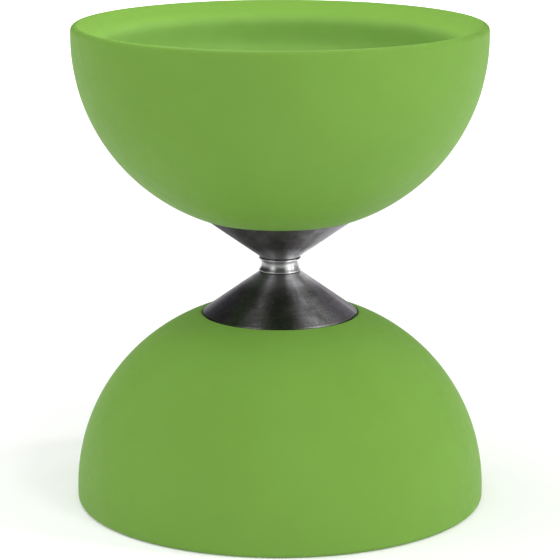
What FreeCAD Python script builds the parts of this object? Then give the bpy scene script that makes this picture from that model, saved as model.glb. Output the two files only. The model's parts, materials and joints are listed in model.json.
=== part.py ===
import FreeCAD, Part
import Sketcher
import math
import os
from FreeCAD import Placement, Rotation, Vector

# Fixed-axle diabolo: two soft rubber cups clamped back to back on a turned steel waist.
#
# Frame: millimetres, +Z up along the axle. The origin is the centre of the waist, the point
# where the string runs. The upper half is modelled in place; every piece of the lower half is
# the same piece turned half a turn about X.
#
# Stack along +Z from the origin: half the roller, shim, cone, gasket, cup base (with the bush
# that carries the clamping load through the rubber), clamp plate, flat washer, self-locking
# nut with its nylon ring, free end of the threaded stud.

doc = FreeCAD.newDocument("Diabolo")

# ---------------------------------------------------------------- driving dimensions
SIZES = [
    # stud
    ("stud_radius", 3.0, "M6 stud, major radius"),
    ("stud_half_length", 33.5, "waist centre to the end of the stud"),
    ("stud_chamfer", 0.7, "lead-in chamfer on each end of the stud"),
    ("bore_clearance", 0.05, "radial gap between the stud and anything threaded over it"),
    # roller in the waist
    ("roller_half_length", 1.7, "half the length of the string roller"),
    ("roller_land", 0.3, "length of the straight ridge at each end of the roller"),
    ("roller_ridge_radius", 5.4, "radius of the end ridges"),
    ("roller_waist_radius", 4.72, "smallest radius, at the middle"),
    ("roller_hollow_radius", 1.781, "radius of the hollow the string runs in"),
    # shim
    ("shim_thickness", 0.3, "thin black shim between roller and cone"),
    ("shim_radius", 5.05, "outer radius of the shim"),
    # cone
    ("cone_tip_radius", 5.34, "radius of the small end"),
    ("cone_land", 0.12, "straight land at the small end"),
    ("cone_shoulder_radius", 19.6, "where the cone turns into its rim"),
    ("cone_shoulder_z", 12.4, "height of that shoulder above the waist centre"),
    ("cone_rim_radius", 19.75, "outer radius of the rim"),
    ("cone_rim_z", 12.52, "start of the straight rim"),
    ("cone_back_z", 12.85, "back face of the cone"),
    ("cone_boss_radius", 9.5, "radius of the solid boss round the stud"),
    ("cone_pocket_z", 7.5, "deepest point of the hollow behind the cone"),
    ("cone_pocket_radius", 16.9, "outer radius of the hollow at the back face"),
    # gasket
    ("gasket_thickness", 0.5, "friction gasket between cone and cup"),
    ("gasket_inner_radius", 8.3, "inner radius of the gasket"),
    ("gasket_outer_radius", 19.3, "outer radius of the gasket"),
    # cup
    ("cup_bore_radius", 8.0, "hole in the base of the cup"),
    ("cup_seat_radius", 20.05, "radius of the recess the cone sits in"),
    ("cup_seat_mouth_z", 12.487, "where the recess meets the outside of the cup"),
    ("cup_knee_radius", 35.976, "outer wall: joint of its two arcs, radius"),
    ("cup_knee_z", 21.889, "outer wall: joint of its two arcs, height"),
    ("cup_base_arc", 49.6, "outer wall: radius of the arc near the hub"),
    ("cup_side_arc", 48.6, "outer wall: radius of the arc up to the rim"),
    ("cup_radius", 52.5, "largest radius of the cup"),
    ("cup_upright_z", 58.4, "height at which the wall becomes upright"),
    ("rim_round", 1.3, "rounding of the outer edge of the rim"),
    ("rim_top_z", 61.5, "top of the rim: half the height of the diabolo"),
    ("rim_flat", 0.4, "width of the flat on top of the rim"),
    ("lip_start_radius", 46.017, "inner end of the sloping lip, radius"),
    ("lip_start_z", 58.797, "inner end of the sloping lip, height"),
    ("lip_round", 2.2, "rounding of the inner edge of the lip"),
    ("lip_radius", 44.9, "radius of the mouth"),
    ("lip_end_z", 56.882, "lower end of that rounding"),
    ("wall_top_radius", 48.419, "inner wall under the lip, radius"),
    ("wall_top_z", 49.5, "inner wall under the lip, height"),
    ("wall_knee_radius", 33.864, "inner wall: joint of its two arcs, radius"),
    ("wall_knee_z", 24.293, "inner wall: joint of its two arcs, height"),
    ("wall_side_arc", 45.4, "inner wall: radius of the upper arc"),
    ("wall_base_arc", 46.4, "inner wall: radius of the lower arc"),
    ("floor_radius", 25.336, "radius of the flat floor inside the cup"),
    ("floor_z", 18.35, "height of the flat floor inside the cup"),
    # bush in the base of the cup
    ("bush_clearance", 0.1, "radial gap between the bush and the cup"),
    # clamp plate
    ("plate_thickness", 1.2, "thickness of the clamp plate"),
    ("plate_radius", 17.0, "outer radius of the clamp plate"),
    ("plate_flat_radius", 13.5, "radius of the flat part of the plate"),
    ("plate_lift", 1.0, "how far the edge of the plate turns up"),
    ("plate_bore_clearance", 0.2, "radial gap between stud and plate"),
    # flat washer
    ("washer_thickness", 1.6, "M6 flat washer"),
    ("washer_radius", 6.0, "outer radius of the washer"),
    ("washer_bore_clearance", 0.1, "radial gap between stud and washer"),
    ("washer_bevel", 0.25, "bevel on the outer edge of the washer"),
    # self-locking nut
    ("nut_across_flats", 10.0, "M6 nut, across the flats"),
    ("nut_hex_height", 4.5, "height of the hexagon"),
    ("nut_height", 6.0, "total height of the nut"),
    ("nut_collar_radius", 4.75, "radius of the round collar"),
    ("nut_collar_shoulder", 5.3, "height at which the collar curls in"),
    ("nut_collar_top_radius", 4.2, "radius of the collar's top edge"),
    ("nut_mouth", 0.45, "chamfer at the mouth of the thread"),
    ("ring_pocket_radius", 4.15, "pocket for the nylon ring"),
    ("ring_pocket_low", 4.45, "bottom of that pocket above the nut's face"),
    ("ring_pocket_high", 5.6, "top of that pocket above the nut's face"),
    ("ring_lip_radius", 3.6, "opening in the crimped lip over the ring"),
    ("ring_gap", 0.05, "gap round the nylon ring in its pocket"),
]

sheet = doc.addObject("Spreadsheet::Sheet", "Sizes")
sheet.Label = "Sizes"
for row, (alias, value, note) in enumerate(SIZES, start=1):
    sheet.set("A%d" % row, alias)
    sheet.set("B%d" % row, str(value))
    sheet.setAlias("B%d" % row, alias)
    sheet.set("C%d" % row, note)
doc.recompute()


class Dim:
    """A length: its present value, and the sheet expression that drives it."""

    def __init__(self, value, text):
        self.value = value
        self.text = text

    def __add__(self, other):
        other = dim(other)
        return Dim(self.value + other.value, "(%s + %s)" % (self.text, other.text))

    def __sub__(self, other):
        other = dim(other)
        return Dim(self.value - other.value, "(%s - %s)" % (self.text, other.text))

    def __neg__(self):
        return Dim(-self.value, "(-1 * %s)" % self.text)

    def __truediv__(self, number):
        return Dim(self.value / number, "(%s / %s)" % (self.text, number))


def dim(x):
    return x if isinstance(x, Dim) else Dim(float(x), repr(float(x)))


VALUES = {alias: value for alias, value, note in SIZES}


def size(alias):
    return Dim(float(VALUES[alias]), "Sizes." + alias)


def origin_plane(body, role):
    for feature in body.Origin.OriginFeatures:
        if feature.Role == role:
            return feature
    raise RuntimeError("no " + role)


def new_body(label):
    body = doc.addObject("PartDesign::Body", label)
    body.Label = label
    return body


def new_sketch(body, name, role="XZ_Plane"):
    sketch = body.newObject("Sketcher::SketchObject", name)
    sketch.AttachmentSupport = [(origin_plane(body, role), "")]
    sketch.MapMode = "FlatFace"
    return sketch


def bind(sketch, constraint, expression):
    index = sketch.addConstraint(constraint)
    if expression is not None:
        sketch.setExpression("Constraints[%d]" % index, expression)
    return index


def fix_point(sketch, geo, pos, r, z):
    """Hold one profile corner at (r, z); a plain zero puts it on the axis instead."""
    if isinstance(r, Dim):
        bind(sketch, Sketcher.Constraint("DistanceX", -1, 1, geo, pos, r.value), r.text)
    else:
        sketch.addConstraint(Sketcher.Constraint("PointOnObject", geo, pos, -2))
    if isinstance(z, Dim):
        bind(sketch, Sketcher.Constraint("DistanceY", -1, 1, geo, pos, z.value), z.text)
    else:
        sketch.addConstraint(Sketcher.Constraint("PointOnObject", geo, pos, -1))


def value_of(x):
    return x.value if isinstance(x, Dim) else float(x)


def draw_profile(sketch, corners):
    """Closed profile. Each corner is (r, z) for a straight edge to the next corner, or
    (r, z, radius, side) for an arc whose centre lies to the left or right of the way along."""
    spots = [Vector(value_of(c[0]), value_of(c[1]), 0) for c in corners]
    count = len(corners)
    ends = []
    arcs = []
    for i in range(count):
        start, stop = spots[i], spots[(i + 1) % count]
        if len(corners[i]) == 2:
            geo = sketch.addGeometry(Part.LineSegment(start, stop), False)
            ends.append((geo, 1, 2))
            continue
        radius, side = corners[i][2], corners[i][3]
        along = stop - start
        half = along.Length / 2
        reach = math.sqrt(max(radius.value**2 - half**2, 0.0))
        left = Vector(-along.y, along.x, 0).normalize()
        centre = (start + stop) * 0.5 + left * (reach if side == "left" else -reach)
        low, high = (start, stop) if side == "left" else (stop, start)
        a0 = math.atan2(low.y - centre.y, low.x - centre.x)
        a1 = math.atan2(high.y - centre.y, high.x - centre.x)
        if a1 < a0:
            a1 += 2 * math.pi
        circle = Part.Circle(centre, Vector(0, 0, 1), radius.value)
        geo = sketch.addGeometry(Part.ArcOfCircle(circle, a0, a1), False)
        ends.append((geo, 1, 2) if side == "left" else (geo, 2, 1))
        arcs.append((geo, radius))
    for i in range(count):
        geo, first, last = ends[i]
        after, after_first, after_last = ends[(i + 1) % count]
        sketch.addConstraint(
            Sketcher.Constraint("Coincident", geo, last, after, after_first)
        )
    for i in range(count):
        geo, first, last = ends[i]
        fix_point(sketch, geo, first, corners[i][0], corners[i][1])
    for geo, radius in arcs:
        bind(sketch, Sketcher.Constraint("Radius", geo, radius.value), radius.text)


def turned(label, corners):
    """A piece of revolution about the axle."""
    body = new_body(label)
    sketch = new_sketch(body, label + "_profile")
    draw_profile(sketch, corners)
    turn = body.newObject("PartDesign::Revolution", label + "_turn")
    turn.Profile = sketch
    turn.ReferenceAxis = (sketch, ["V_Axis"])
    turn.Angle = 360.0
    return body


def place(body, half):
    """The upper half stands as drawn; the lower half is turned over about X."""
    if half == "lower":
        body.Placement = Placement(Vector(0, 0, 0), Rotation(Vector(1, 0, 0), 180))
    return body


# ---------------------------------------------------------------- shared positions
s = size
bore = s("stud_radius") + s("bore_clearance")
shim_low = s("roller_half_length")
cone_tip = shim_low + s("shim_thickness")
seat = s("cone_back_z") + s("gasket_thickness")
plate_low = s("floor_z")
washer_low = plate_low + s("plate_thickness")
nut_low = washer_low + s("washer_thickness")

pieces = []

# ---------------------------------------------------------------- waist
# Threaded stud through the whole diabolo; its thread is drawn as a plain M6 cylinder.
stud = turned(
    "axle_stud",
    [
        (0, -s("stud_half_length")),
        (s("stud_radius") - s("stud_chamfer"), -s("stud_half_length")),
        (s("stud_radius"), -(s("stud_half_length") - s("stud_chamfer"))),
        (s("stud_radius"), s("stud_half_length") - s("stud_chamfer")),
        (s("stud_radius") - s("stud_chamfer"), s("stud_half_length")),
        (0, s("stud_half_length")),
    ],
)
pieces.append(stud)

# Hardened roller with the hollow that the string runs in.
hollow_edge = s("roller_half_length") - s("roller_land")
roller = turned(
    "axle_roller",
    [
        (bore, -s("roller_half_length")),
        (s("roller_ridge_radius"), -s("roller_half_length")),
        (s("roller_ridge_radius"), -hollow_edge, s("roller_hollow_radius"), "right"),
        (s("roller_ridge_radius"), hollow_edge),
        (s("roller_ridge_radius"), s("roller_half_length")),
        (bore, s("roller_half_length")),
    ],
)
pieces.append(roller)


# ---------------------------------------------------------------- pieces made twice
def make_shim(label):
    top = shim_low + s("shim_thickness")
    return turned(
        label,
        [(bore, shim_low), (s("shim_radius"), shim_low), (s("shim_radius"), top), (bore, top)],
    )


def make_cone(label):
    # Straight-sided cone with a narrow rim, a solid boss round the stud and a hollow back.
    return turned(
        label,
        [
            (bore, cone_tip),
            (s("cone_tip_radius"), cone_tip),
            (s("cone_tip_radius"), cone_tip + s("cone_land")),
            (s("cone_shoulder_radius"), s("cone_shoulder_z")),
            (s("cone_rim_radius"), s("cone_rim_z")),
            (s("cone_rim_radius"), s("cone_back_z")),
            (s("cone_pocket_radius"), s("cone_back_z")),
            (s("cone_boss_radius"), s("cone_pocket_z")),
            (s("cone_boss_radius"), s("cone_back_z")),
            (bore, s("cone_back_z")),
        ],
    )


def make_gasket(label):
    low = s("cone_back_z")
    return turned(
        label,
        [
            (s("gasket_inner_radius"), low),
            (s("gasket_outer_radius"), low),
            (s("gasket_outer_radius"), seat),
            (s("gasket_inner_radius"), seat),
        ],
    )


def make_cup(label):
    # Bowl with a two-arc outer wall, a rounded rim with a narrow flat, a lip that slopes in and
    # down to the mouth, an even wall below the lip and a flat floor round the hole.
    return turned(
        label,
        [
            (s("cup_bore_radius"), seat),
            (s("cup_seat_radius"), seat),
            (s("cup_seat_radius"), s("cup_seat_mouth_z"), s("cup_base_arc"), "left"),
            (s("cup_knee_radius"), s("cup_knee_z"), s("cup_side_arc"), "left"),
            (s("cup_radius"), s("cup_upright_z")),
            (s("cup_radius"), s("rim_top_z") - s("rim_round"), s("rim_round"), "left"),
            (s("cup_radius") - s("rim_round"), s("rim_top_z")),
            (s("cup_radius") - s("rim_round") - s("rim_flat"), s("rim_top_z")),
            (s("lip_start_radius"), s("lip_start_z"), s("lip_round"), "left"),
            (s("lip_radius"), s("lip_end_z")),
            (s("wall_top_radius"), s("wall_top_z"), s("wall_side_arc"), "right"),
            (s("wall_knee_radius"), s("wall_knee_z"), s("wall_base_arc"), "right"),
            (s("floor_radius"), s("floor_z")),
            (s("cup_bore_radius"), s("floor_z")),
        ],
    )


def make_bush(label):
    low, high = s("cone_back_z"), s("floor_z")
    outer = s("cup_bore_radius") - s("bush_clearance")
    return turned(label, [(bore, low), (outer, low), (outer, high), (bore, high)])


def make_plate(label):
    # Pressed steel plate: flat middle, edge turned up towards the bowl.
    inner = s("stud_radius") + s("plate_bore_clearance")
    top = plate_low + s("plate_thickness")
    return turned(
        label,
        [
            (inner, plate_low),
            (s("plate_flat_radius"), plate_low),
            (s("plate_radius"), plate_low + s("plate_lift")),
            (s("plate_radius"), top + s("plate_lift")),
            (s("plate_flat_radius"), top),
            (inner, top),
        ],
    )


def make_washer(label):
    inner = s("stud_radius") + s("washer_bore_clearance")
    top = washer_low + s("washer_thickness")
    return turned(
        label,
        [
            (inner, washer_low),
            (s("washer_radius"), washer_low),
            (s("washer_radius"), top - s("washer_bevel")),
            (s("washer_radius") - s("washer_bevel"), top),
            (inner, top),
        ],
    )


def make_nut(label):
    """Self-locking hexagon nut, drawn with its lower face on the washer."""
    body = new_body(label)

    # hexagon, two of its corners on the X axis
    sketch = new_sketch(body, label + "_hexagon", "XY_Plane")
    sketch.AttachmentOffset = Placement(Vector(0, 0, nut_low.value), Rotation())
    sketch.setExpression(".AttachmentOffset.Base.z", nut_low.text)
    corner = s("nut_across_flats").value / math.sqrt(3.0)
    spots = [
        Vector(
            corner * math.cos(math.radians(60 * i)), corner * math.sin(math.radians(60 * i)), 0
        )
        for i in range(6)
    ]
    circle = sketch.addGeometry(
        Part.Circle(Vector(0, 0, 0), Vector(0, 0, 1), corner), True
    )
    sketch.addConstraint(Sketcher.Constraint("Coincident", circle, 3, -1, 1))
    edges = [
        sketch.addGeometry(Part.LineSegment(spots[i], spots[(i + 1) % 6]), False)
        for i in range(6)
    ]
    for i in range(6):
        sketch.addConstraint(
            Sketcher.Constraint("Coincident", edges[i], 2, edges[(i + 1) % 6], 1)
        )
        sketch.addConstraint(Sketcher.Constraint("PointOnObject", edges[i], 1, circle))
    for i in range(5):
        sketch.addConstraint(Sketcher.Constraint("Equal", edges[i], edges[i + 1]))
    sketch.addConstraint(Sketcher.Constraint("PointOnObject", edges[0], 1, -1))
    bind(
        sketch,
        Sketcher.Constraint("Radius", circle, corner),
        "Sizes.nut_across_flats / sqrt(3)",
    )
    pad = body.newObject("PartDesign::Pad", label + "_hex_pad")
    pad.Profile = sketch
    pad.Length = s("nut_hex_height").value
    pad.setExpression("Length", "Sizes.nut_hex_height")

    # round collar that holds the nylon ring
    base = nut_low + s("nut_hex_height") - 0.2
    sketch = new_sketch(body, label + "_collar_profile")
    draw_profile(
        sketch,
        [
            (0, base),
            (s("nut_collar_radius"), base),
            (s("nut_collar_radius"), nut_low + s("nut_collar_shoulder")),
            (s("nut_collar_top_radius"), nut_low + s("nut_height")),
            (0, nut_low + s("nut_height")),
        ],
    )
    collar = body.newObject("PartDesign::Revolution", label + "_collar")
    collar.Profile = sketch
    collar.ReferenceAxis = (sketch, ["V_Axis"])
    collar.Angle = 360.0

    # bore with a chamfered mouth and the pocket for the nylon ring
    sketch = new_sketch(body, label + "_bore_profile")
    draw_profile(
        sketch,
        [
            (0, nut_low - 1.0),
            (bore + s("nut_mouth") + 1.0, nut_low - 1.0),
            (bore, nut_low + s("nut_mouth")),
            (bore, nut_low + s("ring_pocket_low")),
            (s("ring_pocket_radius"), nut_low + s("ring_pocket_low")),
            (s("ring_pocket_radius"), nut_low + s("ring_pocket_high")),
            (s("ring_lip_radius"), nut_low + s("ring_pocket_high")),
            (s("ring_lip_radius"), nut_low + s("nut_height") + 1.0),
            (0, nut_low + s("nut_height") + 1.0),
        ],
    )
    groove = body.newObject("PartDesign::Groove", label + "_bore")
    groove.Profile = sketch
    groove.ReferenceAxis = (sketch, ["V_Axis"])
    groove.Angle = 360.0

    # 30 degree chamfers on the corners of the hexagon, above and below
    sketch = new_sketch(body, label + "_corner_profile")
    flat = s("nut_across_flats") / 2
    draw_profile(
        sketch,
        [
            (flat - 0.15, nut_low),
            (flat + 2.0, nut_low),
            (flat + 2.0, nut_low + 1.24),
        ],
    )
    corners_low = body.newObject("PartDesign::Groove", label + "_corners_low")
    corners_low.Profile = sketch
    corners_low.ReferenceAxis = (sketch, ["V_Axis"])
    corners_low.Angle = 360.0
    sketch = new_sketch(body, label + "_corner_profile_top")
    top = nut_low + s("nut_hex_height")
    draw_profile(
        sketch,
        [
            (flat - 0.15, top),
            (flat + 2.0, top - 1.24),
            (flat + 2.0, top),
        ],
    )
    corners_high = body.newObject("PartDesign::Groove", label + "_corners_high")
    corners_high.Profile = sketch
    corners_high.ReferenceAxis = (sketch, ["V_Axis"])
    corners_high.Angle = 360.0
    return body


def make_ring(label):
    low = nut_low + s("ring_pocket_low") + s("ring_gap")
    high = nut_low + s("ring_pocket_high") - s("ring_gap")
    outer = s("ring_pocket_radius") - s("ring_gap")
    return turned(label, [(bore, low), (outer, low), (outer, high), (bore, high)])


for half in ("upper", "lower"):
    pieces.append(place(make_shim(half + "_roller_shim"), half))
    pieces.append(place(make_cone(half + "_hub_cone"), half))
    pieces.append(place(make_gasket(half + "_hub_gasket"), half))
    pieces.append(place(make_cup(half + "_cup"), half))
    pieces.append(place(make_bush(half + "_cup_bush"), half))
    pieces.append(place(make_plate(half + "_clamp_plate"), half))
    pieces.append(place(make_washer(half + "_flat_washer"), half))
    pieces.append(place(make_nut(half + "_axle_nut"), half))
    pieces.append(place(make_ring(half + "_nut_ring"), half))

doc.recompute()

# ---------------------------------------------------------------- checks before writing
for obj in doc.Objects:
    bad = [word for word in obj.State if word in ("Invalid", "Error")]
    if bad:
        raise RuntimeError("%s is %s" % (obj.Label, bad))
    if obj.TypeId == "Sketcher::SketchObject" and not obj.FullyConstrained:
        raise RuntimeError("%s is not fully constrained" % obj.Label)

full_nut = VALUES["nut_across_flats"] ** 2 * math.sqrt(3) / 2 * VALUES["nut_hex_height"]
for piece in pieces:
    shape = piece.Shape
    if shape.isNull() or not shape.isValid() or len(shape.Solids) != 1:
        raise RuntimeError(piece.Label + " has no single valid solid")
    if piece.Label.endswith("axle_nut") and not 0.4 * full_nut < shape.Volume < 0.85 * full_nut:
        raise RuntimeError(piece.Label + " has lost its bore")

os.makedirs("parts", exist_ok=True)
for piece in pieces:
    piece.Shape.exportStep(os.path.join("parts", piece.Label + ".step"))
    box = piece.Shape.BoundBox
    print(
        "%-20s volume %10.2f  z %8.3f to %8.3f  r %7.3f"
        % (piece.Label, piece.Shape.Volume, box.ZMin, box.ZMax, box.XMax)
    )
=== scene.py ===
import json
import math

import bpy
import numpy as np
from mathutils import Matrix, Vector

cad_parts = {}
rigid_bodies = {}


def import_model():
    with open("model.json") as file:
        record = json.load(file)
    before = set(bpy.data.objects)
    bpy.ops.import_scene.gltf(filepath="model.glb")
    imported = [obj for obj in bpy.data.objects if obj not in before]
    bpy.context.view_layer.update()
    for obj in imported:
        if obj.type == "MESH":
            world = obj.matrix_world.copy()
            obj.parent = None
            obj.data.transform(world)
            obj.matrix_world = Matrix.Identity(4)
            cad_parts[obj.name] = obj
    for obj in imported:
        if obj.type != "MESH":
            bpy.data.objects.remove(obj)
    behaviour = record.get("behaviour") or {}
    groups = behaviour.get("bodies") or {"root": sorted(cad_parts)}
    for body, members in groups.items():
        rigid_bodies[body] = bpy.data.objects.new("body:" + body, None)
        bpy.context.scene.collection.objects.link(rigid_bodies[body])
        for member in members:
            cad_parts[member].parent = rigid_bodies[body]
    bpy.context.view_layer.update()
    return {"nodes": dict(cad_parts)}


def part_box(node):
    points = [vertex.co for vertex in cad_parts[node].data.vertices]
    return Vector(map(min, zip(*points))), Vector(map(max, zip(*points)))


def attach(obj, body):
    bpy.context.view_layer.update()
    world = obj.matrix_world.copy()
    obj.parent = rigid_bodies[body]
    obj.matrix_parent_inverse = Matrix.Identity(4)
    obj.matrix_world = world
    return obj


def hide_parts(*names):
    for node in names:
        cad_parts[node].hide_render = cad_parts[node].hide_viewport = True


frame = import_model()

# Looks for the diabolo: soft rubber cups, dark turned cones, a polished string roller and plated
# fasteners inside the cups. Profiles are written in millimetres and built in metres.
MM = 0.001
HALVES = (("upper", 1.0), ("lower", -1.0))


# ------------------------------------------------------------------ profile helpers
def arc(cr, cz, radius, a0, a1, n):
    """Points along a circular arc, angles in degrees."""
    a = np.radians(np.linspace(a0, a1, n))
    return [(cr + radius * math.cos(t), cz + radius * math.sin(t)) for t in a]


def soften(points, sigma=0.1, extra=(), tol=0.004, longest=2.0, step=0.03):
    """A closed profile with its corners rounded, then thinned to as few points as it needs.

    sigma is the rounding in mm, and extra adds more of it near given points: (r, z, reach, sigma)."""
    p = np.array(points, float)
    loop = np.vstack([p, p[:1]])
    length = np.r_[0, np.cumsum(np.hypot(*np.diff(loop, axis=0).T))]
    count = int(max(200, length[-1] / step))
    at = np.linspace(0, length[-1], count, endpoint=False)
    dense = np.c_[np.interp(at, length, loop[:, 0]), np.interp(at, length, loop[:, 1])]
    gap = length[-1] / count
    spread = np.full(count, float(sigma))
    for r, z, reach, more in extra:
        d = np.hypot(dense[:, 0] - r, dense[:, 1] - z)
        spread = np.maximum(spread, more * np.exp(-((d / reach) ** 4)))
    out = dense.copy()
    passes = 24
    # repeated small averaging: its width grows with the number of passes that touch a point
    weight = np.clip((spread / gap) ** 2 / passes, 0, None)
    rounds = int(math.ceil(weight.max() / 0.45)) or 1
    share = (weight / rounds)[:, None]
    for _ in range(passes * rounds):
        out = out + share * (np.roll(out, 1, 0) + np.roll(out, -1, 0) - 2 * out) / 1.0
    # thin it: a point stays when leaving it out would move the line by more than tol
    keep = [0]
    i = 0
    reach = int(longest / gap)
    last = 3
    while i < count - 1:
        span = min(reach, last * 2 + 2, count - i)
        j = span
        while j > 1:
            a, b = out[i], out[(i + j) % count]
            mid = out[i + 1 : min(i + j, count)]
            d = b - a
            n = math.hypot(*d) or 1e-9
            off = np.abs((mid[:, 0] - a[0]) * d[1] - (mid[:, 1] - a[1]) * d[0]) / n
            if len(off) == 0 or off.max() <= tol:
                break
            j = max(1, int(j * 0.75))
        i += j
        last = j
        if i < count:
            keep.append(i)
    return out[keep]


def build(name, verts, faces, smooth=True):
    mesh = bpy.data.meshes.new(name)
    mesh.from_pydata([tuple(v) for v in verts], [], [tuple(f) for f in faces])
    mesh.validate()
    mesh.polygons.foreach_set("use_smooth", [smooth] * len(mesh.polygons))
    mesh.update()
    obj = bpy.data.objects.new(name, mesh)
    bpy.context.scene.collection.objects.link(obj)
    return obj


def outward(obj):
    """Turns the faces so that they look out of the solid."""
    mesh = obj.data
    mesh.calc_loop_triangles()
    co = np.empty(len(mesh.vertices) * 3)
    mesh.vertices.foreach_get("co", co)
    co = co.reshape(-1, 3)
    tri = np.empty(len(mesh.loop_triangles) * 3, np.int32)
    mesh.loop_triangles.foreach_get("vertices", tri)
    a, b, c = (co[tri.reshape(-1, 3)[:, i]] for i in range(3))
    if float((a * np.cross(b, c)).sum()) < 0:
        mesh.flip_normals()
    return obj


def grid_ring(name, rows, sign):
    """A closed tube of rows round the axle. rows[j] is an array of (x, y, z) in mm, and the last
    row joins the first. The lower half is the same shape turned over about X."""
    rows = np.array(rows, float)
    m, n = rows.shape[:2]
    verts = rows.reshape(-1, 3) * MM
    if sign < 0:
        verts = verts * np.array([1.0, -1.0, -1.0])
    faces = []
    for j in range(m):
        k = (j + 1) % m
        for i in range(n):
            q = (i + 1) % n
            faces.append((j * n + i, j * n + q, k * n + q, k * n + i))
    return outward(build(name, verts, faces))


def lathe(name, profile, sign=1.0, seg=192):
    a = np.linspace(0, 2 * math.pi, seg, endpoint=False)
    c, s = np.cos(a), np.sin(a)
    rows = [np.c_[r * c, r * s, np.full(seg, z)] for r, z in profile]
    return grid_ring(name, rows, sign)


def span(node, half="upper"):
    """Lowest and highest height of a CAD node along the axle, in mm, as for the upper half."""
    low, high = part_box(node)
    z = sorted((abs(low.z), abs(high.z)))
    return z[0] / MM, z[1] / MM


# ------------------------------------------------------------------ material helpers
class Nodes:
    """A short way to write node trees."""

    def __init__(self, name):
        self.material = bpy.data.materials.new(name)
        self.material.use_nodes = True
        self.tree = self.material.node_tree
        self.tree.nodes.clear()
        self.out = self.add("ShaderNodeOutputMaterial")
        self.surface = self.add("ShaderNodeBsdfPrincipled")
        self.link(self.surface.outputs[0], self.out.inputs["Surface"])
        self.where = self.add("ShaderNodeTexCoord").outputs["Object"]

    def add(self, kind, **values):
        node = self.tree.nodes.new(kind)
        for key, value in values.items():
            setattr(node, key, value)
        return node

    def link(self, a, b):
        self.tree.links.new(a, b)

    def put(self, socket, value):
        if isinstance(value, bpy.types.NodeSocket):
            self.link(value, socket)
        else:
            socket.default_value = value

    def math(self, operation, a, b=None, c=None, clamp=False):
        node = self.add("ShaderNodeMath", operation=operation, use_clamp=clamp)
        for i, value in enumerate((a, b, c)):
            if value is not None:
                self.put(node.inputs[i], value)
        return node.outputs[0]

    def noise(self, scale, detail=2.0, rough=0.5, vector=None, distortion=0.0):
        node = self.add("ShaderNodeTexNoise")
        self.put(node.inputs["Vector"], vector or self.where)
        node.inputs["Scale"].default_value = scale
        node.inputs["Detail"].default_value = detail
        node.inputs["Roughness"].default_value = rough
        node.inputs["Distortion"].default_value = distortion
        return node.outputs["Fac"]

    def ramp(self, value, stops, mode="LINEAR"):
        node = self.add("ShaderNodeValToRGB")
        ramp = node.color_ramp
        ramp.interpolation = mode
        while len(ramp.elements) < len(stops):
            ramp.elements.new(0.5)
        for element, (position, colour) in zip(ramp.elements, stops):
            element.position = position
            if isinstance(colour, (int, float)):
                colour = (colour, colour, colour)
            element.color = (*colour, 1.0)
        self.put(node.inputs[0], value)
        return node.outputs[0]

    def between(self, value, low, high, a=0.0, b=1.0, smooth=True):
        node = self.add("ShaderNodeMapRange", clamp=True)
        if smooth:
            node.interpolation_type = "SMOOTHSTEP"
        self.put(node.inputs["Value"], value)
        for key, v in (("From Min", low), ("From Max", high), ("To Min", a), ("To Max", b)):
            node.inputs[key].default_value = v
        return node.outputs["Result"]

    def mix(self, factor, a, b, mode="MIX"):
        node = self.add("ShaderNodeMix", data_type="RGBA", blend_type=mode)
        self.put(node.inputs[0], factor)
        for socket, value in ((node.inputs[6], a), (node.inputs[7], b)):
            if isinstance(value, tuple) and len(value) == 3:
                value = (*value, 1.0)
            self.put(socket, value)
        return node.outputs[2]

    def bump(self, height, strength, distance, after=None):
        node = self.add("ShaderNodeBump")
        node.inputs["Strength"].default_value = strength
        node.inputs["Distance"].default_value = distance
        self.put(node.inputs["Height"], height)
        if after is not None:
            self.link(after, node.inputs["Normal"])
        return node.outputs[0]

    def scaled(self, x, y, z):
        node = self.add("ShaderNodeMapping")
        node.inputs["Scale"].default_value = (x, y, z)
        self.link(self.where, node.inputs["Vector"])
        return node.outputs[0]

    def polar(self):
        """Radius from the axle, height and angle, each as a socket."""
        split = self.add("ShaderNodeSeparateXYZ")
        self.link(self.where, split.inputs[0])
        x, y, z = split.outputs
        r = self.math("SQRT", self.math("ADD", self.math("MULTIPLY", x, x), self.math("MULTIPLY", y, y)))
        return r, z, self.math("ARCTAN2", y, x)

    def joined(self, x, y, z):
        node = self.add("ShaderNodeCombineXYZ")
        for socket, value in zip(node.inputs, (x, y, z)):
            self.put(socket, value)
        return node.outputs[0]

    def set(self, **values):
        names = {
            "colour": "Base Color", "rough": "Roughness", "metal": "Metallic", "normal": "Normal",
            "sheen": "Sheen Weight", "sheen_rough": "Sheen Roughness", "sheen_tint": "Sheen Tint",
            "specular": "Specular IOR Level", "ior": "IOR", "coat": "Coat Weight",
            "coat_rough": "Coat Roughness", "aniso": "Anisotropic", "turn": "Anisotropic Rotation",
            "tangent": "Tangent", "scatter": "Subsurface Weight", "scatter_radius": "Subsurface Radius",
            "scatter_scale": "Subsurface Scale", "diffuse_rough": "Diffuse Roughness",
            "edge_tint": "Specular Tint",
        }
        for key, value in values.items():
            if isinstance(value, tuple) and len(value) == 3 and key in ("colour", "sheen_tint", "edge_tint"):
                value = (*value, 1.0)
            self.put(self.surface.inputs[names[key]], value)


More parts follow.
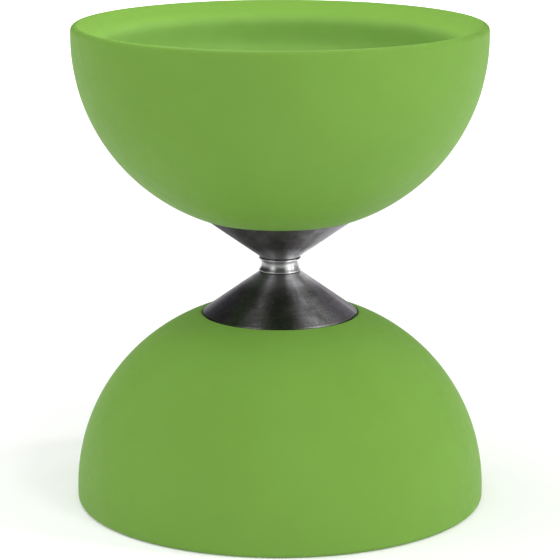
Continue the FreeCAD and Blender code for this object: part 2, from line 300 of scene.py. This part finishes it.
def rubber_material():
    """Satin moulded rubber: one even green, a fine matt grain, a faint drift in colour, and a slight polish and dust
    where the rim is handled and set down. Inside the cup the colour is painted paler, as painted light on the inner
    walls."""
    k = Nodes("green_rubber")
    r, z, angle = k.polar()
    height = k.math("ABSOLUTE", z)
    drift = k.noise(22.0, 3.0, 0.55)
    cloud = k.noise(140.0, 2.0, 0.5)
    base = k.mix(k.between(drift, 0.3, 0.7), (0.1590, 0.3150, 0.0510), (0.1690, 0.3320, 0.0560))
    base = k.mix(k.between(cloud, 0.35, 0.75, 0.0, 0.25), base, (0.1750, 0.3440, 0.0560))
    # handled rim: a little paler, broken up by fine rubbing marks that run round it
    rim = k.between(height, 0.0585, 0.0613)
    rubbed = k.noise(60.0, 4.0, 0.65, k.joined(k.math("MULTIPLY", angle, 0.35), k.math("MULTIPLY", height, 18.0), r))
    wear = k.math("MULTIPLY", rim, k.between(rubbed, 0.45, 0.75), clamp=True)
    base = k.mix(k.math("MULTIPLY", wear, 0.22), base, (0.2050, 0.3850, 0.0800))
    # inside the cup the rubber is painted paler: painted light that stands in for the light falling on the inner walls
    shape = k.add("ShaderNodeNewGeometry")
    flat = k.add("ShaderNodeVectorMath", operation="MULTIPLY")
    k.link(k.where, flat.inputs[0])
    flat.inputs[1].default_value = (1.0, 1.0, 0.0)
    out = k.add("ShaderNodeVectorMath", operation="NORMALIZE")
    k.link(flat.outputs[0], out.inputs[0])
    facing = k.add("ShaderNodeVectorMath", operation="DOT_PRODUCT")
    k.link(out.outputs[0], facing.inputs[0])
    k.link(shape.outputs["Normal"], facing.inputs[1])
    inside = k.between(facing.outputs["Value"], 0.15, -0.35)
    painted_inner_light = k.math("MULTIPLY", inside, k.between(cloud, 0.2, 0.7, 0.85, 1.0), clamp=True)
    # near the lip the painted inner light is less pale and greener
    lip = k.between(height, 0.0560, 0.0590)
    base = k.mix(painted_inner_light, base, k.mix(lip, (0.2400, 0.4050, 0.1060), (0.1900, 0.3700, 0.0600)))
    specks = k.noise(900.0, 2.0, 0.6)
    base = k.mix(k.between(specks, 0.66, 0.80, 0.0, 0.10), base, (0.260, 0.410, 0.140))
    grain = k.noise(5200.0, 2.0, 0.6)
    skin = k.noise(420.0, 3.0, 0.5)
    swell = k.noise(38.0, 1.0, 0.4)
    rough = k.math("ADD", k.between(skin, 0.25, 0.75, 0.50, 0.60), k.math("MULTIPLY", wear, -0.06))
    normal = k.bump(swell, 0.35, 0.00025)
    normal = k.bump(skin, 0.10, 0.00006, normal)
    normal = k.bump(grain, 0.22, 0.00002, normal)
    k.set(colour=base, rough=rough, normal=normal, specular=0.18, edge_tint=(0.60, 0.78, 0.30), sheen=0.015, sheen_rough=0.45,
          sheen_tint=(0.80, 1.0, 0.70), scatter=0.06, scatter_radius=(0.6, 1.0, 0.3), scatter_scale=0.0012)
    return k.material


def turned_material():
    """Dark turned steel: lathe grooves run round it, so its highlights stretch along it."""
    k = Nodes("dark_turned_steel")
    r, z, angle = k.polar()
    lines = k.noise(1.0, 4.0, 0.7, k.joined(k.math("MULTIPLY", angle, 0.6), k.math("MULTIPLY", r, 5200.0), k.math("MULTIPLY", z, 5200.0)))
    broad = k.noise(1.0, 3.0, 0.6, k.joined(k.math("MULTIPLY", angle, 0.9), k.math("MULTIPLY", r, 900.0), k.math("MULTIPLY", z, 900.0)))
    mottle = k.noise(330.0, 4.0, 0.62)
    patch = k.noise(95.0, 2.0, 0.5)
    base = k.mix(k.between(mottle, 0.3, 0.72), (0.094, 0.088, 0.096), (0.158, 0.150, 0.160))
    base = k.mix(k.between(patch, 0.35, 0.7, 0.0, 0.5), base, (0.117, 0.109, 0.114))
    base = k.mix(k.between(broad, 0.5, 0.8, 0.0, 0.30), base, (0.225, 0.215, 0.227))
    base = k.mix(k.between(lines, 0.40, 0.72, 0.0, 0.45), base, (0.055, 0.052, 0.056))
    base = k.mix(k.between(lines, 0.38, 0.22, 0.0, 0.35), base, (0.30, 0.288, 0.302))
    # fine grey speckle of the blackened skin
    grit = k.noise(1500.0, 3.0, 0.65)
    base = k.mix(k.between(grit, 0.54, 0.74, 0.0, 0.50), base, (0.27, 0.262, 0.274))
    base = k.mix(k.between(grit, 0.46, 0.28, 0.0, 0.45), base, (0.050, 0.047, 0.051))
    # the string has polished the small end
    polish = k.between(r, 0.0112, 0.0058)
    base = k.mix(k.math("MULTIPLY", polish, 0.85, clamp=True), base, k.mix(k.between(broad, 0.35, 0.7), (0.36, 0.35, 0.365), (0.47, 0.46, 0.475)))
    # bright rubbed edges at the small end and round the rim
    tip = k.between(k.math("ABSOLUTE", r), 0.00585, 0.00535)
    edge = k.between(r, 0.01945, 0.01972)
    bare = k.math("MULTIPLY", k.math("MAXIMUM", tip, k.math("MULTIPLY", edge, 0.35)), k.between(broad, 0.30, 0.62, 0.35, 1.0), clamp=True)
    base = k.mix(k.math("MULTIPLY", bare, 0.55), base, (0.48, 0.475, 0.47))
    rough = k.math("ADD", k.between(mottle, 0.25, 0.75, 0.33, 0.40), k.math("MULTIPLY", broad, 0.04))
    rough = k.math("ADD", rough, k.math("MULTIPLY", bare, -0.03))
    rough = k.math("ADD", rough, k.math("MULTIPLY", polish, -0.04))
    normal = k.bump(broad, 0.10, 0.00004)
    normal = k.bump(lines, 0.22, 0.00002, normal)
    normal = k.bump(mottle, 0.03, 0.00002, normal)
    tangent = k.add("ShaderNodeTangent", direction_type="RADIAL", axis="Z")
    k.set(colour=base, metal=1.0, rough=rough, normal=normal, aniso=k.math("MULTIPLY_ADD", polish, 0.05, 0.95),
          turn=0.25, edge_tint=(0.45, 0.45, 0.46))
    k.link(tangent.outputs[0], k.surface.inputs["Tangent"])
    return k.material


def polished_material():
    """Hardened roller, polished by the string, with faint marks that run round it."""
    k = Nodes("polished_roller_steel")
    r, z, angle = k.polar()
    rings = k.noise(1.0, 3.0, 0.7, k.joined(k.math("MULTIPLY", angle, 0.5), k.math("MULTIPLY", z, 7000.0), 0.0))
    haze = k.noise(700.0, 3.0, 0.6)
    base = k.mix(k.between(rings, 0.45, 0.75, 0.0, 0.4), (0.42, 0.42, 0.425), (0.32, 0.32, 0.325))
    rough = k.between(haze, 0.3, 0.7, 0.29, 0.35)
    normal = k.bump(rings, 0.08, 0.00001)
    tangent = k.add("ShaderNodeTangent", direction_type="RADIAL", axis="Z")
    k.set(colour=base, metal=1.0, rough=rough, normal=normal, aniso=0.92, turn=0.25)
    k.link(tangent.outputs[0], k.surface.inputs["Tangent"])
    return k.material


def plated_material(name, low, high, rough=(0.24, 0.36), warm=0.0, turned=0.0, scale=1.0):
    """Zinc-plated or bright steel: a fine crystalline drift, small stains and hairline marks."""
    k = Nodes(name)
    r, z, angle = k.polar()
    mottle = k.noise(420.0 * scale, 4.0, 0.6)
    stain = k.noise(150.0 * scale, 3.0, 0.55)
    hair = k.noise(1.0, 3.0, 0.7, k.joined(k.math("MULTIPLY", angle, 1.1), k.math("MULTIPLY", r, 4200.0), k.math("MULTIPLY", z, 4200.0)))
    base = k.mix(k.between(mottle, 0.3, 0.7), low, high)
    tint = (high[0] * (1.0 + 0.06 * warm), high[1], high[2] * (1.0 - 0.14 * warm))
    base = k.mix(k.between(stain, 0.45, 0.75, 0.0, 0.55), base, tint)
    normal = k.bump(mottle, 0.06, 0.00003)
    normal = k.bump(hair, 0.12 if turned else 0.04, 0.000015, normal)
    k.set(colour=base, metal=1.0, rough=k.between(stain, 0.3, 0.7, rough[0], rough[1]), normal=normal)
    if turned:
        tangent = k.add("ShaderNodeTangent", direction_type="RADIAL", axis="Z")
        k.set(aniso=turned, turn=0.25)
        k.link(tangent.outputs[0], k.surface.inputs["Tangent"])
    return k.material


def soft_material(name, low, high, rough=(0.5, 0.7), grain=2600.0, specular=0.4, scatter=0.0):
    """Nylon, fibre or plain black rubber: a little variation, a fine grain."""
    k = Nodes(name)
    drift = k.noise(260.0, 3.0, 0.55)
    fine = k.noise(grain, 2.0, 0.6)
    base = k.mix(k.between(drift, 0.3, 0.7), low, high)
    normal = k.bump(fine, 0.15, 0.00002)
    k.set(colour=base, rough=k.between(drift, 0.25, 0.75, rough[0], rough[1]), normal=normal,
          specular=specular)
    if scatter:
        k.set(scatter=scatter, scatter_radius=(1.0, 1.0, 0.9), scatter_scale=0.0008)
    return k.material


def dress(obj, material):
    obj.data.materials.clear()
    obj.data.materials.append(material)


green = rubber_material()
dark_steel = turned_material()
roller_steel = polished_material()
zinc = plated_material("zinc_plate", (0.50, 0.505, 0.51), (0.66, 0.665, 0.68), (0.22, 0.34), warm=0.6)
washer_zinc = plated_material("washer_zinc", (0.52, 0.525, 0.53), (0.70, 0.70, 0.71), (0.20, 0.32), warm=0.4, turned=0.3)
plate_zinc = plated_material("clamp_plate_zinc", (0.46, 0.46, 0.465), (0.62, 0.62, 0.63), (0.26, 0.38), warm=0.5, turned=0.55)
bush_steel = plated_material("bush_steel", (0.40, 0.40, 0.41), (0.52, 0.52, 0.53), (0.35, 0.45), turned=0.4)
thread_steel = plated_material("thread_zinc", (0.46, 0.465, 0.47), (0.62, 0.62, 0.63), (0.26, 0.40), warm=0.5)
nylon = soft_material("natural_nylon", (0.70, 0.70, 0.66), (0.80, 0.80, 0.76), (0.35, 0.5), 1800.0, 0.5, 0.25)
fibre = soft_material("black_fibre", (0.010, 0.010, 0.011), (0.018, 0.018, 0.019), (0.6, 0.75), 3600.0, 0.3)
gasket = soft_material("black_gasket_rubber", (0.012, 0.012, 0.012), (0.022, 0.022, 0.022), (0.65, 0.8), 3000.0, 0.3)

METALS = {m.name for m in (dark_steel, roller_steel, zinc, washer_zinc, plate_zinc, bush_steel, thread_steel)}

# ------------------------------------------------------------------ cups
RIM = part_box("upper_cup")[1].z / MM  # top of the rim
SEAT = span("upper_hub_gasket")[1]  # floor of the recess the hub sits in
FLOOR = span("upper_clamp_plate")[0]  # flat floor inside the cup


def cup_profile():
    side, base, wall, knee = 48.6, 49.6, 3.2, 48.7
    ar, az = 52.5 - side, RIM - 3.1
    kr, kz = ar + side * math.cos(math.radians(knee)), az - side * math.sin(math.radians(knee))
    br, bz = kr - base * math.cos(math.radians(knee)), kz + base * math.sin(math.radians(knee))
    mouth = math.degrees(math.acos((20.05 - br) / base))
    p = [(8.0, SEAT), (20.05, SEAT)]
    p += arc(br, bz, base, -mouth, -knee, 60)
    p += arc(ar, az, side, -knee, 0.0, 110)[1:]
    p += arc(51.2, RIM - 1.3, 1.3, 0.0, 90.0, 20)
    p += [(50.8, RIM)]
    p += arc(47.1, RIM - 4.618, 2.2, 119.5, 180.0, 16)
    inner_side, inner_base = side - wall, base - wall
    top = math.degrees(math.asin((az - 49.5) / inner_side))
    p += arc(ar, az, inner_side, -top, -knee, 60)
    low = math.degrees(math.asin((bz - FLOOR) / inner_base))
    p += arc(br, bz, inner_base, -knee, -low, 40)[1:]
    # shallow moulded ring round the clamp plate, and the floor inside it
    p += [(20.6, FLOOR), (20.2, FLOOR + 0.55), (18.9, FLOOR + 0.55), (18.5, FLOOR), (8.0, FLOOR)]
    return soften(
        p, sigma=0.12, tol=0.004, longest=1.6,
        extra=[(20.05, 12.5, 1.2, 0.30), (44.9, RIM - 4.6, 2.5, 0.9),
               (48.4, 49.5, 4.0, 1.6), (25.3, FLOOR, 3.0, 0.8), (19.55, FLOOR + 0.3, 1.6, 0.22)],
    )


profile = cup_profile()
# the rounding takes a hair off the rim, which the cup stands on: it is put back
near = np.clip((profile[:, 1] - (RIM - 3.0)) / 3.0, 0, 1)
profile[:, 1] += (RIM - profile[:, 1].max()) * near * near * (3 - 2 * near)
for half, sign in HALVES:
    cup = lathe(f"{half}_rubber_cup", profile, sign, 256)
    dress(cup, green)
    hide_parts(f"{half}_cup")
    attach(cup, "root")

# ------------------------------------------------------------------ waist
for half, sign in HALVES:
    low, high = span(f"{half}_hub_cone")
    cone = [
        (3.05, low), (5.34, low), (5.34, low + 0.12), (19.6, 12.40), (19.75, 12.52), (19.75, high),
        (16.9, high), (9.5, 7.5), (9.5, high), (3.05, high),
    ]
    piece = lathe(f"{half}_turned_cone", soften(cone, sigma=0.05, tol=0.002, longest=0.9), sign, 224)
    dress(piece, dark_steel)
    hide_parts(f"{half}_hub_cone")
    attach(piece, "root")

half_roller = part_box("axle_roller")[1].z / MM
hollow = 1.781
edge = half_roller - 0.3
centre = 4.72 + hollow
side = math.degrees(math.asin(edge / hollow))
roller = [(3.05, -half_roller), (5.4, -half_roller), (5.4, -edge)]
roller += arc(centre, 0.0, hollow, 180.0 + side, 180.0 - side, 40)
roller += [(5.4, edge), (5.4, half_roller), (3.05, half_roller)]
piece = lathe("string_roller", soften(roller, sigma=0.055, tol=0.0012, longest=0.4, step=0.01), 1.0, 160)
dress(piece, roller_steel)
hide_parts("axle_roller")
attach(piece, "root")

# ------------------------------------------------------------------ threaded stud
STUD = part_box("axle_stud")[1].z / MM
PITCH, MAJOR, MINOR = 1.0, 3.0, 2.39
THREAD_START = 17.0


def stud_radius(z, angle):
    """Plain shank in the middle, a right-hand thread at each end, and a chamfered point."""
    height = np.abs(z)
    phase = (z / PITCH - angle / (2 * math.pi)) % 1.0
    tooth = np.abs(phase - 0.5) * 2.0  # 1 on the crest, 0 in the root
    depth = np.clip((tooth - 0.14) / (0.86 - 0.14), 0, 1)
    depth = depth * depth * (3 - 2 * depth) * 0.35 + depth * 0.65
    thread = MINOR + (MAJOR - MINOR) * depth
    fade = np.clip((height - THREAD_START) / 1.5, 0, 1)
    body = MAJOR - 0.33 * (1 - fade)
    r = np.minimum(thread * fade + body * (1 - fade), MAJOR)
    return np.minimum(r, MAJOR - 0.7 + (STUD - height) * 1.0 + 0.0)


seg = 72
angles = np.linspace(0, 2 * math.pi, seg, endpoint=False)
heights = list(np.arange(THREAD_START, STUD - 0.02, 1.0 / 14.0)) + [STUD - 0.02]
heights = [-h for h in reversed(heights)] + list(np.linspace(-16.8, 16.8, 24)) + heights
rows = []
for h in heights:
    r = stud_radius(np.full(seg, h), angles)
    rows.append(np.c_[r * np.cos(angles), r * np.sin(angles), np.full(seg, h)])
# slightly crowned ends
for end in (1, -1):
    ring = []
    for share, rise in ((0.985, 0.006), (0.93, 0.014), (0.6, 0.019), (0.25, 0.0199)):
        r = 2.3 * share
        ring.append(np.c_[r * np.cos(angles), r * np.sin(angles), np.full(seg, end * (STUD - 0.02 + rise))])
    rows = rows + ring if end > 0 else list(reversed(ring)) + rows
verts = np.array(rows).reshape(-1, 3) * MM
faces = []
for j in range(len(rows) - 1):
    for i in range(seg):
        q = (i + 1) % seg
        faces.append((j * seg + i, j * seg + q, (j + 1) * seg + q, (j + 1) * seg + i))
bottom, top = len(verts), len(verts) + 1
verts = np.vstack([verts, [[0, 0, -STUD * MM]], [[0, 0, STUD * MM]]])
base_row = (len(rows) - 1) * seg
for i in range(seg):
    q = (i + 1) % seg
    faces.append((q, i, bottom))
    faces.append((base_row + i, base_row + q, top))
stud = outward(build("threaded_stud", verts, faces))
dress(stud, thread_steel)
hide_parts("axle_stud")
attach(stud, "root")


# ------------------------------------------------------------------ fasteners in each cup
def hexagon_radius(angle, flat=5.0, round_=0.10):
    """Radius of a hexagon with two corners on the X axis, its corners slightly rounded."""
    faces_at = np.radians(30 + 60 * np.arange(6))
    d = np.cos(angle[:, None] - faces_at[None, :])
    reach = np.where(d > 0.2, flat / np.maximum(d, 0.2), 60.0)
    low = reach.min(1, keepdims=True)
    return (low - round_ * np.log(np.exp(-(reach - low) / round_).sum(1, keepdims=True)))[:, 0] + 0.0


def nut_rows(low):
    seg_ = 240
    a = np.linspace(0, 2 * math.pi, seg_, endpoint=False)
    six = hexagon_radius(a)
    c, s = np.cos(a), np.sin(a)
    top = low + 4.5
    rows_ = []

    def ring(radius, z):
        radius = np.broadcast_to(radius, (seg_,))
        rows_.append(np.c_[radius * c, radius * s, np.broadcast_to(z, (seg_,))])

    def soft_min(x, y, w):
        m = np.minimum(x, y)
        return m - w * np.log(np.exp(-(x - m) / w) + np.exp(-(y - m) / w)) + w * 0.0

    # underside, from the bore outwards
    for r, z in ((3.05, low + 0.50), (3.10, low + 0.42), (3.30, low + 0.20), (3.46, low + 0.05), (3.55, low), (4.0, low), (4.6, low), (4.80, low)):
        ring(r, z)
    # lower chamfer and sides: whichever of the hexagon and the chamfer cone is smaller
    slope = 1.0 / 0.62
    for z in list(np.linspace(0.0, 0.62, 14)) + list(np.linspace(0.75, 3.75, 9)) + list(np.linspace(3.88, 4.5, 14)):
        cone_low = 4.86 + z * slope
        cone_high = 4.86 + (4.5 - z) * slope
        ring(soft_min(soft_min(six, cone_low, 0.03), cone_high, 0.03), low + z)
    # top of the hexagon, then the collar
    for r, z in ((4.82, top), (4.79, top + 0.02), (4.755, top + 0.06), (4.745, top + 0.12), (4.745, top + 0.45), (4.745, top + 0.78), (4.72, top + 0.90),
                 (4.66, top + 1.05), (4.55, top + 1.22), (4.42, top + 1.36), (4.30, top + 1.45), (4.18, top + 1.49), (4.05, top + 1.50),
                 (3.86, top + 1.49), (3.72, top + 1.44), (3.64, top + 1.35), (3.61, top + 1.25), (3.62, top + 1.16), (3.70, top + 1.12),
                 (4.05, top + 1.11), (4.13, top + 1.09), (4.145, top + 1.0), (4.145, top + 0.5), (4.145, top + 0.0), (4.12, top - 0.04), (4.0, top - 0.045),
                 (3.2, top - 0.045), (3.07, top - 0.06), (3.05, top - 0.12), (3.05, top - 1.0), (3.05, low + 2.5), (3.05, low + 1.2)):
        ring(r, z)
    return rows_


for half, sign in HALVES:
    low, high = span(f"{half}_clamp_plate")
    t = 1.2
    lift = high - low - t
    plate = [(3.2, low), (13.5, low), (17.0, low + lift), (17.0, high), (13.5, low + t), (3.2, low + t)]
    piece = lathe(f"{half}_pressed_plate", soften(plate, sigma=0.14, tol=0.003, longest=0.9,
                  extra=[(13.5, low + t / 2, 2.2, 0.55)]), sign, 192)
    dress(piece, plate_zinc)
    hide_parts(f"{half}_clamp_plate")
    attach(piece, "root")

    low, high = span(f"{half}_flat_washer")
    washer = [(3.1, low), (6.0, low), (6.0, high - 0.3), (5.75, high), (3.1, high)]
    piece = lathe(f"{half}_plain_washer", soften(washer, sigma=0.07, tol=0.002, longest=0.5), sign, 128)
    dress(piece, washer_zinc)
    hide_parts(f"{half}_flat_washer")
    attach(piece, f"{half}_washer")

    low, high = span(f"{half}_axle_nut")
    piece = grid_ring(f"{half}_locking_nut", nut_rows(low), sign)
    dress(piece, zinc)
    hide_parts(f"{half}_axle_nut")
    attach(piece, f"{half}_nut")

    low, high = span(f"{half}_nut_ring")
    ring = [(3.05, low), (4.1, low), (4.1, high), (3.05, high)]
    piece = lathe(f"{half}_nylon_ring", soften(ring, sigma=0.06, tol=0.002, longest=0.3), sign, 128)
    dress(piece, nylon)
    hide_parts(f"{half}_nut_ring")
    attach(piece, f"{half}_nut")

    dress(frame["nodes"][f"{half}_roller_shim"], fibre)
    dress(frame["nodes"][f"{half}_hub_gasket"], gasket)
    dress(frame["nodes"][f"{half}_cup_bush"], bush_steel)

# ------------------------------------------------------------------ studio
scene = bpy.context.scene
scene.view_settings.view_transform = "Standard"
scene.view_settings.look = "None"
scene.view_settings.exposure = 0.0
scene.view_settings.gamma = 1.0

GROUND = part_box("lower_cup")[0].z


def floor_piece():
    k = Nodes("pale_floor")
    cloud = k.noise(3.0, 2.0, 0.5)
    k.set(colour=k.mix(k.between(cloud, 0.3, 0.7), (0.86, 0.86, 0.86), (0.88, 0.88, 0.88)), rough=0.9,
          specular=0.15)
    k.surface.inputs["Emission Color"].default_value = (1.0, 1.0, 1.0, 1.0)
    # the sweep runs up to white in the distance, for the camera only, so that no horizon shows
    away = k.between(k.polar()[0], 0.45, 1.3)
    seen = k.add("ShaderNodeLightPath").outputs["Is Camera Ray"]
    k.link(k.math("MULTIPLY_ADD", away, seen, FLOOR_GLOW), k.surface.inputs["Emission Strength"])
    size = 40.0
    obj = build("studio_floor", [(-size, -size, GROUND), (size, -size, GROUND), (size, size, GROUND), (-size, size, GROUND)],
                [(0, 1, 2, 3)], smooth=False)
    dress(obj, k.material)
    return obj


# Broad, soft lights round and above the object. Azimuth 0 is the camera's side and 90 the right:
# (azimuth, elevation, width m, height m, power W), each 1.5 m away. They light matt surfaces only.
SOFT = [
    (-160, 6, 0.7, 0.55, 3.26),
    (-120, 6, 0.7, 0.55, 3.25),
    (-80, 6, 0.7, 0.55, 3.2),
    (0, 6, 0.7, 0.55, 0.91),
    (40, 6, 0.7, 0.55, 2.27),
    (80, 6, 0.7, 0.55, 3.65),
    (120, 6, 0.7, 0.55, 3.21),
    (160, 6, 0.7, 0.55, 2.92),
    (-160, 34, 0.7, 0.55, 1.3),
    (-120, 34, 0.7, 0.55, 2.39),
    (-80, 34, 0.7, 0.55, 1.55),
    (-40, 34, 0.7, 0.55, 0.81),
    (0, 34, 0.7, 0.55, 2.52),
    (40, 34, 0.36, 0.36, 3.8),
    (80, 34, 0.26, 0.26, 5.9),
    (120, 34, 0.7, 0.55, 3.38),
    (160, 34, 0.7, 0.55, 1.02),
    (-120, 62, 0.7, 0.55, 3.01),
    (-80, 62, 0.7, 0.55, 1.97),
    (-40, 62, 0.7, 0.55, 1.99),
    (0, 62, 0.7, 0.55, 3.14),
    (40, 62, 0.7, 0.55, 2.26),
]
# Small white cards close above the upper cup's mouth: (place mm, aimed at mm, power W).
CARDS = [
    ((-18, -24, 80), (-18, -24, 0), 0.0100),
    ((18, -24, 80), (18, -24, 0), 0.0060),
    ((0, -30, 80), (0, -30, 0), 0.0035),
    ((30, -20, 76), (-35, 30, 40), 0.0088),
    ((10, -30, 76), (-30, 35, 40), 0.009),
    ((-30, -15, 76), (45, 10, 45), 0.0004),
]
# Tall narrow lights that only the shiny surfaces show, 1.3 m away: (azimuth, power W).
STRIPS = [
    (-170, 3.8), (-160, 1.8), (-70, 0.7), (-60, 1.0), (-50, 4.5), (-40, 4.0), (-30, 1.2), (40, 4.7), (50, 2.7),
    (60, 17.5), (70, 4.9), (80, 5.7), (90, 8.7), (110, 2.1), (120, 1.2), (140, 2.3), (160, 7.2), (170, 3.4),
]
# Reflector cards lying on the floor, which the underside of the waist shows: (azimuth, power W).
FLOOR_CARDS = [
    (-30, 0.0054), (30, 0.0098), (45, 0.0466), (60, 0.0952), (75, 0.0306), (90, 0.0693), (105, 0.0259), (165, 0.1324),
]
WORLD_MATT = 0.069  # how bright the plain surroundings are to matt surfaces
WORLD_SHINY = 0.0  # and in reflections
FLOOR_GLOW = 0.152


# the strips and reflector cards are flagged off the rubber: only metal shows them
metal_pieces = bpy.data.collections.new("metal_pieces")


def aim(obj, spot, target=(0.0, 0.0, 0.0)):
    obj.location = Vector(spot)
    obj.rotation_mode = "QUATERNION"
    obj.rotation_quaternion = (Vector(spot) - Vector(target)).to_track_quat("Z", "Y")


def area_light(name, spot, target, width, height, power, matt, shiny):
    data = bpy.data.lights.new(name, "AREA")
    data.shape = "RECTANGLE"
    data.size, data.size_y = width, height
    data.energy = power
    obj = bpy.data.objects.new(name, data)
    scene.collection.objects.link(obj)
    aim(obj, spot, target)
    obj.visible_camera = False
    obj.visible_diffuse = matt
    obj.visible_glossy = shiny
    obj.visible_transmission = matt
    if shiny:
        obj.light_linking.receiver_collection = metal_pieces
    return obj


def make_light(name, azimuth, elevation, distance, width, height, power, gloss):
    a, e = math.radians(azimuth), math.radians(elevation)
    spot = (distance * math.sin(a) * math.cos(e), -distance * math.cos(a) * math.cos(e), distance * math.sin(e))
    return area_light(name, spot, (0, 0, 0), width, height, power, True, gloss)


def make_strip(name, azimuth, power):
    a, away, tall = math.radians(azimuth), 1.3, 2.7
    return area_light(name, (away * math.sin(a), -away * math.cos(a), 1.3), (0, 0, 1.3), 0.14, tall, power, False, True)


def make_floor_card(name, azimuth, power):
    a, away = math.radians(azimuth), 0.13
    card = area_light(name, (0, 0, 1), (0, 0, 0), 0.03, 0.14, power, False, True)
    card.rotation_mode = "XYZ"
    card.location = (away * math.sin(a), -away * math.cos(a), GROUND + 0.001)
    card.rotation_euler = (math.pi, 0.0, a)
    return card


for obj in bpy.data.objects:
    if obj.type == "MESH" and any(m is not None and m.name in METALS for m in obj.data.materials):
        metal_pieces.objects.link(obj)
for i, (azimuth, elevation, width, height, power) in enumerate(SOFT):
    make_light(f"soft_{i + 1}", azimuth, elevation, 1.5, width, height, power, False)
for i, (spot, goal, power) in enumerate(CARDS):
    area_light(f"mouth_card_{i + 1}", [v * MM for v in spot], [v * MM for v in goal], 0.024, 0.024, power, True, False)
for i, (azimuth, power) in enumerate(STRIPS):
    make_strip(f"strip_{i + 1}", azimuth, power)
for i, (azimuth, power) in enumerate(FLOOR_CARDS):
    make_floor_card(f"floor_card_{i + 1}", azimuth, power)


def make_world():
    world = bpy.data.worlds.new("studio")
    scene.world = world
    world.use_nodes = True
    tree = world.node_tree
    tree.nodes.clear()
    out = tree.nodes.new("ShaderNodeOutputWorld")
    plain = tree.nodes.new("ShaderNodeBackground")
    plain.inputs["Color"].default_value = (1.0, 1.0, 1.0, 1.0)
    path = tree.nodes.new("ShaderNodeLightPath")
    level = tree.nodes.new("ShaderNodeMapRange")
    level.inputs["To Min"].default_value = WORLD_MATT
    level.inputs["To Max"].default_value = WORLD_SHINY
    tree.links.new(path.outputs["Is Glossy Ray"], level.inputs["Value"])
    seen = tree.nodes.new("ShaderNodeMapRange")
    seen.inputs["To Max"].default_value = 1.0
    tree.links.new(path.outputs["Is Camera Ray"], seen.inputs["Value"])
    tree.links.new(level.outputs["Result"], seen.inputs["To Min"])
    tree.links.new(seen.outputs["Result"], plain.inputs["Strength"])
    tree.links.new(plain.outputs[0], out.inputs["Surface"])


make_world()
floor_piece()

# camera on the front side, looking slightly down
camera = bpy.data.objects.new("camera", bpy.data.cameras.new("camera"))
scene.collection.objects.link(camera)
camera.data.sensor_width = 36.0
camera.data.lens = 2527.34 / 560.0 * 36.0
camera.data.clip_start, camera.data.clip_end = 0.01, 100.0
pitch = 0.22586
camera.location = (0.0, -12.0256 * 0.0525, 2.678 * 0.0525)
camera.rotation_euler = (math.pi / 2 - pitch, 0.0, 0.0)
scene.camera = camera
